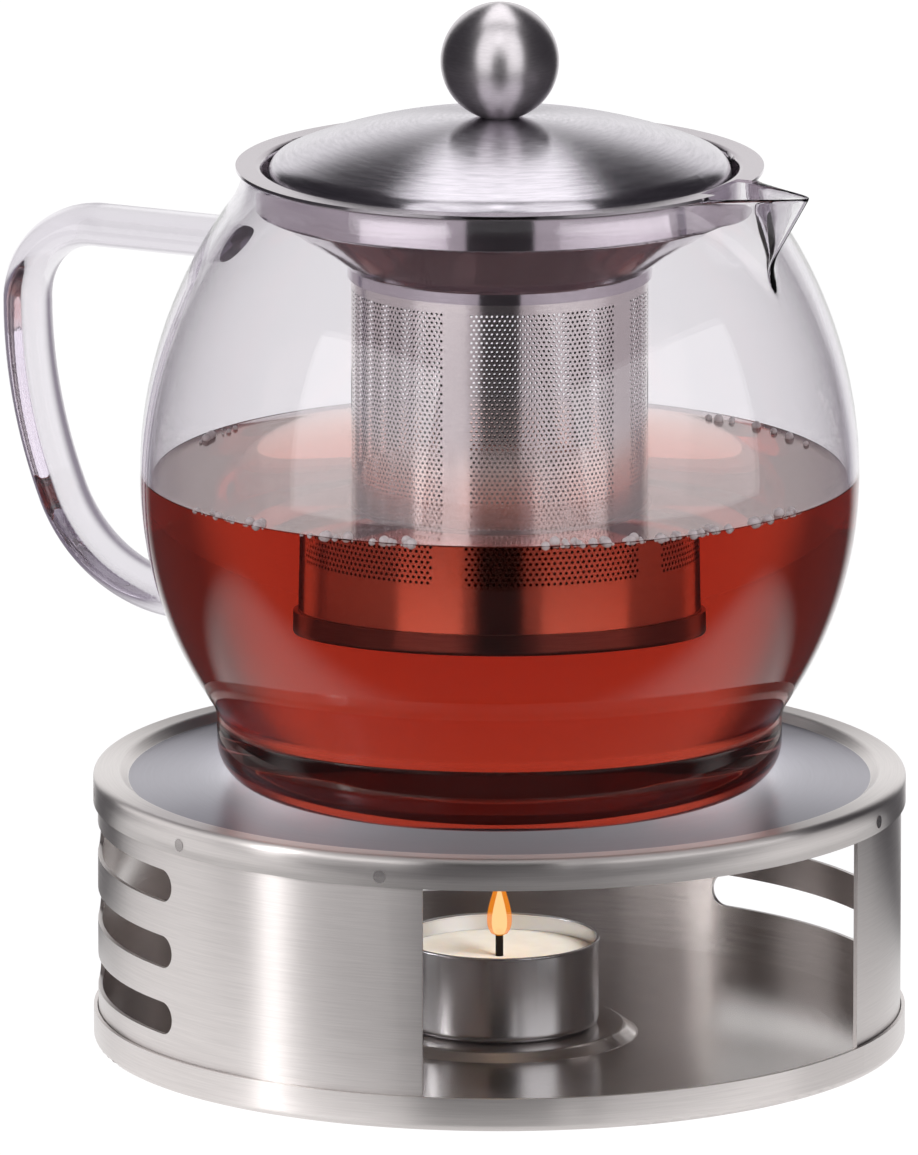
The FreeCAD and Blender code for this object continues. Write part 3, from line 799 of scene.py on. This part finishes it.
def fine_sleeve(material):
    """The basket's perforated tube, with its fine staggered holes in panels between plain strips.

    Each brick-shaped cell has six points on its border and a six-sided hole.
    """
    low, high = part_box("infuser_sleeve")
    radius = high.y
    count = 2 * SLEEVE_COLUMNS
    zone_low = low.z + PANEL_BOTTOM_MARGIN
    zone_high = high.z - PANEL_TOP_MARGIN
    pitch = 2 * math.pi * radius / SLEEVE_COLUMNS
    rows = round((zone_high - zone_low) / (pitch * math.sqrt(0.75)))
    row_height = (zone_high - zone_low) / rows
    heights = [low.z] + [zone_low + row_height * j for j in range(rows + 1)] + [high.z]
    points = []
    for height in heights:
        for k in range(count):
            turn = 2 * math.pi * k / count
            points.append((radius * math.cos(turn), radius * math.sin(turn), height))
    faces = []
    for band in (0, rows + 1):
        below = band * count
        above = below + count
        for k in range(count):
            after = (k + 1) % count
            faces.append([below + k, below + after, above + after, above + k])
    spacing = 360.0 / PANEL_COUNT
    for row in range(rows):
        below = (row + 1) * count
        above = below + count
        middle = zone_low + row_height * (row + 0.5)
        for column in range(SLEEVE_COLUMNS):
            first = 2 * column + row % 2
            ks = [(first + i) % count for i in range(3)]
            bearing = 360.0 * (first + 1) / count
            off_centre = abs((bearing - PANEL_BEARING + spacing / 2) % spacing - spacing / 2)
            if off_centre > PANEL_SPAN / 2:
                faces.append([below + ks[0], below + ks[1], above + ks[1], above + ks[0]])
                faces.append([below + ks[1], below + ks[2], above + ks[2], above + ks[1]])
                continue
            border = [below + k for k in ks] + [above + k for k in reversed(ks)]
            start = len(points)
            for corner in range(6):
                around = math.radians(210 + 60 * corner)
                turn = math.radians(bearing) + FINE_HOLE_RADIUS * math.cos(around) / radius
                height = middle + FINE_HOLE_RADIUS * math.sin(around)
                points.append((radius * math.cos(turn), radius * math.sin(turn), height))
            for corner in range(6):
                after = (corner + 1) % 6
                faces.append([border[corner], border[after], start + after, start + corner])
    obj = new_mesh_object("perforated_sleeve", points, faces, material)
    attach(obj, "infuser")
    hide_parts("infuser_sleeve")


# Tea bubbles and flame


def bubbles(material):
    """Small bubbles that gather along the tea's edge."""
    chance = random.Random(BUBBLE_SEED)
    wall = shoulder_radius(TEA_LEVEL, GLASS_WALL)
    ball = bmesh.new()
    for start, end, number in BUBBLE_RUNS:
        for _ in range(number):
            bearing = math.radians(VIEW_AZIMUTH - 90 + chance.uniform(start, end))
            size = chance.uniform(BUBBLE_LEAST, 1.0) ** 2 * BUBBLE_RADIUS
            away = size * 1.05 + abs(chance.gauss(0, 1.0)) * BUBBLE_SPREAD
            place = Matrix.Translation(
                (
                    (wall - away) * math.cos(bearing),
                    (wall - away) * math.sin(bearing),
                    POT_SEAT + TEA_LEVEL - MENISCUS * 0.4 + size * 0.25,
                )
            )
            bmesh.ops.create_icosphere(ball, subdivisions=2, radius=size, matrix=place)
    mesh = bpy.data.meshes.new("tea_bubbles")
    ball.to_mesh(mesh)
    ball.free()
    mesh.materials.append(material)
    mesh.polygons.foreach_set("use_smooth", [True] * len(mesh.polygons))
    obj = bpy.data.objects.new("tea_bubbles", mesh)
    bpy.context.scene.collection.objects.link(obj)
    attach(obj, "pot")


def flame(outer, inner):
    """The candle's flame: a bright drop inside a thinner orange one."""
    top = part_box("wick")[1].z
    for name, material, share in (("flame_edge", outer, 1.0), ("flame_core", inner, FLAME_CORE_SHARE)):
        rings = []
        steps = 16
        for i in range(steps + 1):
            rise = i / steps
            swell = math.sin(math.pi * rise**FLAME_BELLY) ** FLAME_FULLNESS
            width = FLAME_WIDTH / 2 * share * swell * (1 - FLAME_TAPER * rise)
            base = top - FLAME_LAP + (1 - share) * FLAME_CORE_RISE
            height = base + FLAME_HEIGHT * (1 - (1 - share) * 0.5) * rise
            rings.append((0.0 if i in (0, steps) else width, height, 0.0))
        angles = [2 * math.pi * i / 32 for i in range(32)]
        points, faces = turned_rings(rings, angles, lambda angle, ring: ring[0])
        obj = new_mesh_object(name, points, faces, material)
        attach(obj, "tealight")


# Studio


def direction(azimuth, elevation):
    """The way from the object to a camera or lamp; azimuth 0 looks along +Y."""
    a, e = math.radians(azimuth), math.radians(elevation)
    return Vector((math.sin(a) * math.cos(e), -math.cos(a) * math.cos(e), math.sin(e)))


def make_camera():
    data = bpy.data.cameras.new("camera")
    data.sensor_width = SENSOR
    data.lens = SENSOR * CAMERA_DISTANCE / FRAME_HEIGHT
    data.clip_end = CAMERA_FAR_END
    camera = bpy.data.objects.new("camera", data)
    bpy.context.scene.collection.objects.link(camera)
    back = direction(VIEW_AZIMUTH, VIEW_ELEVATION)
    right = direction(VIEW_AZIMUTH + 90, 0)
    aim = Vector((0, 0, AIM_HEIGHT)) - right * AIM_LEFT
    camera.location = aim + back * CAMERA_DISTANCE
    camera.rotation_mode = "QUATERNION"
    camera.rotation_quaternion = (-back).to_track_quat("-Z", "Y")
    bpy.context.scene.camera = camera


def aim_at_pot(obj, bearing, elevation, distance):
    """Stands a lamp or card at a bearing from the camera, to its right, facing the pot."""
    back = direction(VIEW_AZIMUTH + bearing, elevation)
    obj.location = Vector((0, 0, AIM_HEIGHT)) + back * distance
    obj.rotation_mode = "QUATERNION"
    obj.rotation_quaternion = (-back).to_track_quat("-Z", "Y")


def softbox(name, bearing, elevation, distance, width, height, radiance, only=(), spare=(), through=()):
    """A softbox of a radiance, where 1 is the level of white paper.

    Flags keep its light on the objects in only, keep it off those in spare, and let it go through others.
    """
    data = bpy.data.lights.new(name, "AREA")
    data.shape = "RECTANGLE"
    data.size = width
    data.size_y = height
    data.energy = math.pi * width * height * radiance
    lamp = bpy.data.objects.new(name, data)
    bpy.context.scene.collection.objects.link(lamp)
    aim_at_pot(lamp, bearing, elevation, distance)
    lamp.visible_camera = False
    flags = (
        ("receiver", only, "INCLUDE"),
        ("receiver", spare, "EXCLUDE"),
        ("blocker", through, "EXCLUDE"),
    )
    for role, objects, state in flags:
        if not objects:
            continue
        flagged = bpy.data.collections.new(f"{name}_{role}")
        for obj in objects:
            flagged.objects.link(obj)
        setattr(lamp.light_linking, role + "_collection", flagged)
        for item in flagged.collection_objects:
            item.light_linking.link_state = state


def met_mirror(tree, *glass_faces):
    """1 where a ray has been mirrored and has gone through one of these numbers of glass faces, else 0.

    Bare metal is met through none, metal and tea inside the pot through four, the pot's floor through six.
    """
    path = add(tree, "ShaderNodeLightPath")
    met = add(tree, "ShaderNodeMath", {0: path.outputs["Glossy Depth"], 1: 1.0}, operation="MINIMUM")
    found = 0.0
    for faces in glass_faces:
        same = add(
            tree,
            "ShaderNodeMath",
            {0: path.outputs["Transmission Depth"], 1: float(faces), 2: 0.5},
            operation="COMPARE",
        )
        found = add(tree, "ShaderNodeMath", {0: found, 1: same.outputs[0]}, operation="ADD").outputs[0]
    return add(tree, "ShaderNodeMath", {0: met.outputs[0], 1: found}, operation="MULTIPLY").outputs[0]


def dark_card(name, colour, glass_faces, bearing, elevation, distance, width, height):
    """A dark card between the softboxes, which only mirroring surfaces show."""
    material, tree = new_material(name)
    clear = add(tree, "ShaderNodeBsdfTransparent")
    dark = add(tree, "ShaderNodeBsdfDiffuse", {"Color": linear(colour)})
    seen = met_mirror(tree, *glass_faces)
    shader = add(tree, "ShaderNodeMixShader", {0: seen, 1: clear.outputs[0], 2: dark.outputs[0]})
    finish_surface(tree, shader.outputs[0])
    x, y = width / 2, height / 2
    obj = new_mesh_object(name, [(-x, -y, 0), (x, -y, 0), (x, y, 0), (-x, y, 0)], [(0, 1, 2, 3)], material)
    aim_at_pot(obj, bearing, elevation, distance)
    obj.visible_camera = False
    obj.visible_shadow = False
    obj.visible_diffuse = False


def paper_share(tree, place):
    """How far a place or a way is white paper: behind the pot, and before it too for clear glass."""
    flat = add(tree, "ShaderNodeVectorMath", {0: place, 1: (1.0, 1.0, 0.0)}, operation="MULTIPLY")
    heading = add(tree, "ShaderNodeVectorMath", {0: flat.outputs[0]}, operation="NORMALIZE")
    behind = tuple(-direction(VIEW_AZIMUTH, 0))
    depth = add(tree, "ShaderNodeVectorMath", {0: heading.outputs[0], 1: behind}, operation="DOT_PRODUCT")
    either = add(tree, "ShaderNodeMath", {0: depth.outputs["Value"]}, operation="ABSOLUTE")
    along = add(
        tree,
        "ShaderNodeMix",
        {"Factor": met_mirror(tree, 0, 4), "A": either.outputs[0], "B": depth.outputs["Value"]},
    )
    share = add(
        tree,
        "ShaderNodeMapRange",
        {"Value": along.outputs["Result"], "From Min": PAPER_EDGE, "From Max": PAPER_FULL},
        interpolation_type="SMOOTHSTEP",
    )
    return share.outputs[0]


def studio_colour(tree, share, inner_colour):
    """The paper's white or the dim room, which is less dark for clear glass and for steel behind it."""
    room = add(
        tree,
        "ShaderNodeMix",
        {"Factor": met_mirror(tree, 0), "A": linear(GLASS_ROOM_COLOUR), "B": linear(ROOM_COLOUR)},
        data_type="RGBA",
    )
    inner_room = add(
        tree,
        "ShaderNodeMix",
        {"Factor": met_mirror(tree, 4), "A": room.outputs["Result"], "B": inner_colour},
        data_type="RGBA",
    )
    around = add(
        tree,
        "ShaderNodeMix",
        {"Factor": share, "A": inner_room.outputs["Result"], "B": linear("ffffff")},
        data_type="RGBA",
    )
    straight = add(tree, "ShaderNodeLightPath").outputs["Is Camera Ray"]
    seen = add(
        tree,
        "ShaderNodeMix",
        {"Factor": straight, "A": around.outputs["Result"], "B": linear("ffffff")},
        data_type="RGBA",
    )
    return seen.outputs["Result"]


def make_world():
    """White paper low behind the pot and a dim room round it; the camera itself sees only white."""
    world = bpy.data.worlds.new("studio")
    bpy.context.scene.world = world
    world.use_nodes = True
    tree = world.node_tree
    tree.nodes.clear()
    way = add(tree, "ShaderNodeTexCoord").outputs["Generated"]
    rise = add(tree, "ShaderNodeSeparateXYZ", {"Vector": way}).outputs["Z"]
    low = add(
        tree,
        "ShaderNodeMapRange",
        {
            "Value": rise,
            "From Min": PAPER_TOP_START,
            "From Max": PAPER_TOP_END,
            "To Min": 1.0,
            "To Max": 0.0,
        },
        interpolation_type="SMOOTHSTEP",
    )
    across = paper_share(tree, way)
    share = add(tree, "ShaderNodeMath", {0: across, 1: low.outputs[0]}, operation="MULTIPLY")
    colour = studio_colour(tree, share.outputs[0], linear(INNER_ROOM_COLOUR))
    light = add(tree, "ShaderNodeBackground", {"Color": colour, "Strength": 1.0})
    add(tree, "ShaderNodeOutputWorld", {"Surface": light.outputs[0]})


def make_floor():
    """White paper under the pot, which keeps its shadow. Mirrored rays find it glowing in painted room
    colours, darker near the pot for steel behind glass.
    """
    material, tree = new_material("white_paper_sweep")
    place = add(tree, "ShaderNodeTexCoord").outputs["Object"]
    turned = add(
        tree,
        "ShaderNodeVectorRotate",
        {"Vector": place, "Angle": -math.radians(VIEW_AZIMUTH)},
        rotation_type="Z_AXIS",
    )
    squeezed = add(
        tree,
        "ShaderNodeVectorMath",
        {0: turned.outputs[0], 1: (1.0, 1.0 / PAPER_FRONT_SHARE, 1.0)},
        operation="MULTIPLY",
    )
    reach = add(tree, "ShaderNodeVectorMath", {0: squeezed.outputs[0]}, operation="LENGTH")
    near = add(
        tree,
        "ShaderNodeMapRange",
        {
            "Value": reach.outputs["Value"],
            "From Min": PAPER_NEAR,
            "From Max": PAPER_NEAR_END,
            "To Min": 1.0,
            "To Max": 0.0,
        },
        interpolation_type="SMOOTHSTEP",
    )
    across = paper_share(tree, place)
    share = add(tree, "ShaderNodeMath", {0: across, 1: near.outputs[0]}, operation="MAXIMUM")
    away = add(tree, "ShaderNodeVectorMath", {0: place}, operation="LENGTH")
    far = add(
        tree,
        "ShaderNodeMapRange",
        {"Value": away.outputs["Value"], "From Min": INNER_NEAR_REACH, "From Max": INNER_FAR_REACH},
        interpolation_type="SMOOTHSTEP",
    )
    inner = add(
        tree,
        "ShaderNodeMix",
        {"Factor": far.outputs[0], "A": linear(INNER_FLOOR_NEAR), "B": linear(INNER_FLOOR_FAR)},
        data_type="RGBA",
    )
    colour = studio_colour(tree, share.outputs[0], inner.outputs["Result"])
    lit = add(tree, "ShaderNodeLightPath").outputs["Is Diffuse Ray"]
    unlit = add(tree, "ShaderNodeMath", {0: 1.0, 1: lit}, operation="SUBTRACT")
    sheet = add(tree, "ShaderNodeBsdfDiffuse", {"Color": linear(PAPER_COLOUR)})
    glow = add(tree, "ShaderNodeEmission", {"Color": colour, "Strength": FLOOR_WHITE})
    part = add(tree, "ShaderNodeMath", {0: unlit.outputs[0], 1: FLOOR_GLOW}, operation="MULTIPLY")
    mix = add(tree, "ShaderNodeMixShader", {0: part.outputs[0], 1: sheet.outputs[0], 2: glow.outputs[0]})
    finish_surface(tree, mix.outputs[0])
    edge = FLOOR_HALF_WIDTH
    corners = [(x, y, -FLOOR_DROP) for x, y in ((-edge, -edge), (edge, -edge), (edge, edge), (-edge, edge))]
    new_mesh_object("floor", corners, [(0, 1, 2, 3)], material)


def let_light_through():
    """Enough bounces for light to leave thick glass and rows of bubbles again."""
    cycles = bpy.context.scene.cycles
    cycles.max_bounces = 24
    cycles.glossy_bounces = 10
    cycles.transmission_bounces = 24
    cycles.transparent_max_bounces = 32


def dress(node, material, other=None, where=None):
    """Gives a CAD node its finish, and another to the faces that where picks."""
    mesh = NODES[node].data
    mesh.materials.clear()
    mesh.materials.append(material)
    if other:
        mesh.materials.append(other)
        for face in mesh.polygons:
            face.material_index = 1 if where(face) else 0


def level_inside(face):
    """Picks what faces up, inside the warmer's rim."""
    return face.normal.z > 0.6 and face.center.xy.length < WARMER_RIM_INSIDE


def faces_in(face):
    """Picks what faces the vertical axis."""
    return face.normal.xy.dot(face.center.xy.normalized()) < -0.5


def dress_all():
    """Gives every CAD node its finish and adds the finer pieces; returns the cap, and pot and tea."""
    # plate is the darker, painted-shade copy of the band steel.
    band, plate, inner, rim = band_steel(), shaded_plate_steel(), inner_steel(), rim_steel()
    dress("warmer_pan", band, inner, level_inside)
    dress("warmer_band", band, inner, faces_in)
    dress("cap_spot_welds", inner)
    dress("tealight_cup", drawn_aluminium())
    dress("tealight_wax", paraffin_wax())
    dress("wick", charred_cotton())
    dress("wick_tab", rim)
    dress("glass_handle", clear_glass("drawn_borosilicate_rod", HANDLE_TINT))
    dress("infuser_funnel", rim, flange_steel(), level_inside)
    # The basket's base cap takes the darker plate finish: painted shade.
    dress("infuser_base_cap", plate)
    dress("lid_dome", lid_steel())
    dress("knob_ball", knob_steel())
    for node in ("knob_insert", "knob_washer", "knob_screw"):
        dress(node, rim)
    cap = pressed_cap(band, plate)
    clear = [glass_pot(clear_glass("blown_borosilicate_glass", POT_TINT)), tea(black_tea())]
    fine_sleeve(sleeve_steel())
    bubbles(tea_bubble_film())
    flame(
        candle_flame("flame_orange", "ff9220", seen=1.0, given=3.0, cover=0.5),
        candle_flame("flame_yellow", "fff0b8", seen=1.2, given=6.0, cover=0.9),
    )
    return cap, clear


def set_lamps(cap, clear):
    """The studio's lamps and cards: bearing, elevation, distance, width, height and radiance or colour."""
    top = [NODES["lid_dome"], NODES["knob_ball"]]
    warmer = [NODES["warmer_pan"], NODES["warmer_band"], cap]
    level = [cap, NODES["warmer_pan"], NODES["infuser_funnel"]]
    cup, wax = [NODES["tealight_cup"]], [NODES["tealight_wax"]]
    softbox("left_softbox", -46, 12, 0.9, 0.75, 0.7, 1.5, spare=top)
    softbox("right_softbox", 58, 12, 0.9, 1.1, 0.6, 1.2, spare=top)
    softbox("stand_strip", -65, 10, 0.85, 0.1, 0.7, 6.5, only=warmer)
    softbox("stand_left", -98, 10, 0.5, 0.6, 0.5, 1.0, only=warmer)
    softbox("window_strip", 8, 6, 0.7, 0.3, 0.3, 1.9, only=warmer)
    softbox("lid_boom_low", 180, 46, 0.8, 0.2, 0.24, 1.7, only=top)
    softbox("lid_boom_middle", 180, 63, 0.8, 0.36, 0.24, 1.7, only=top)
    softbox("lid_boom_high", 180, 80, 0.8, 0.62, 0.24, 1.9, only=top)
    softbox("knob_left", -27, 30, 0.7, 0.48, 1.3, 1.4, only=top)
    softbox("knob_right", 27, 30, 0.7, 0.48, 1.3, 1.4, only=top)
    softbox("plate_glow", 180, -30, 0.05, 0.1, 0.05, 1.9, only=[cap], through=clear)
    softbox("ceiling", 0, 90, 0.7, 1.3, 1.3, 0.5, only=level)
    softbox("cup_strip", -82, -6, 0.4, 0.1, 0.09, 8.0, only=cup, through=warmer)
    softbox("wax_fill", 60, 35, 0.5, 0.4, 0.3, 11.0, only=wax, through=warmer + clear)
    dark_card("front_card", "0a0a0a", (0, 4), 0, -2, 0.3, 0.16, 0.5)
    dark_card("foot_card", "726a6c", (4, 6), 180, -5.5, 0.13, 0.12, 0.05)


def main():
    cap, clear = dress_all()
    make_world()
    make_floor()
    make_camera()
    set_lamps(cap, clear)
    let_light_through()
    bpy.context.scene.view_settings.view_transform = "Standard"


main()
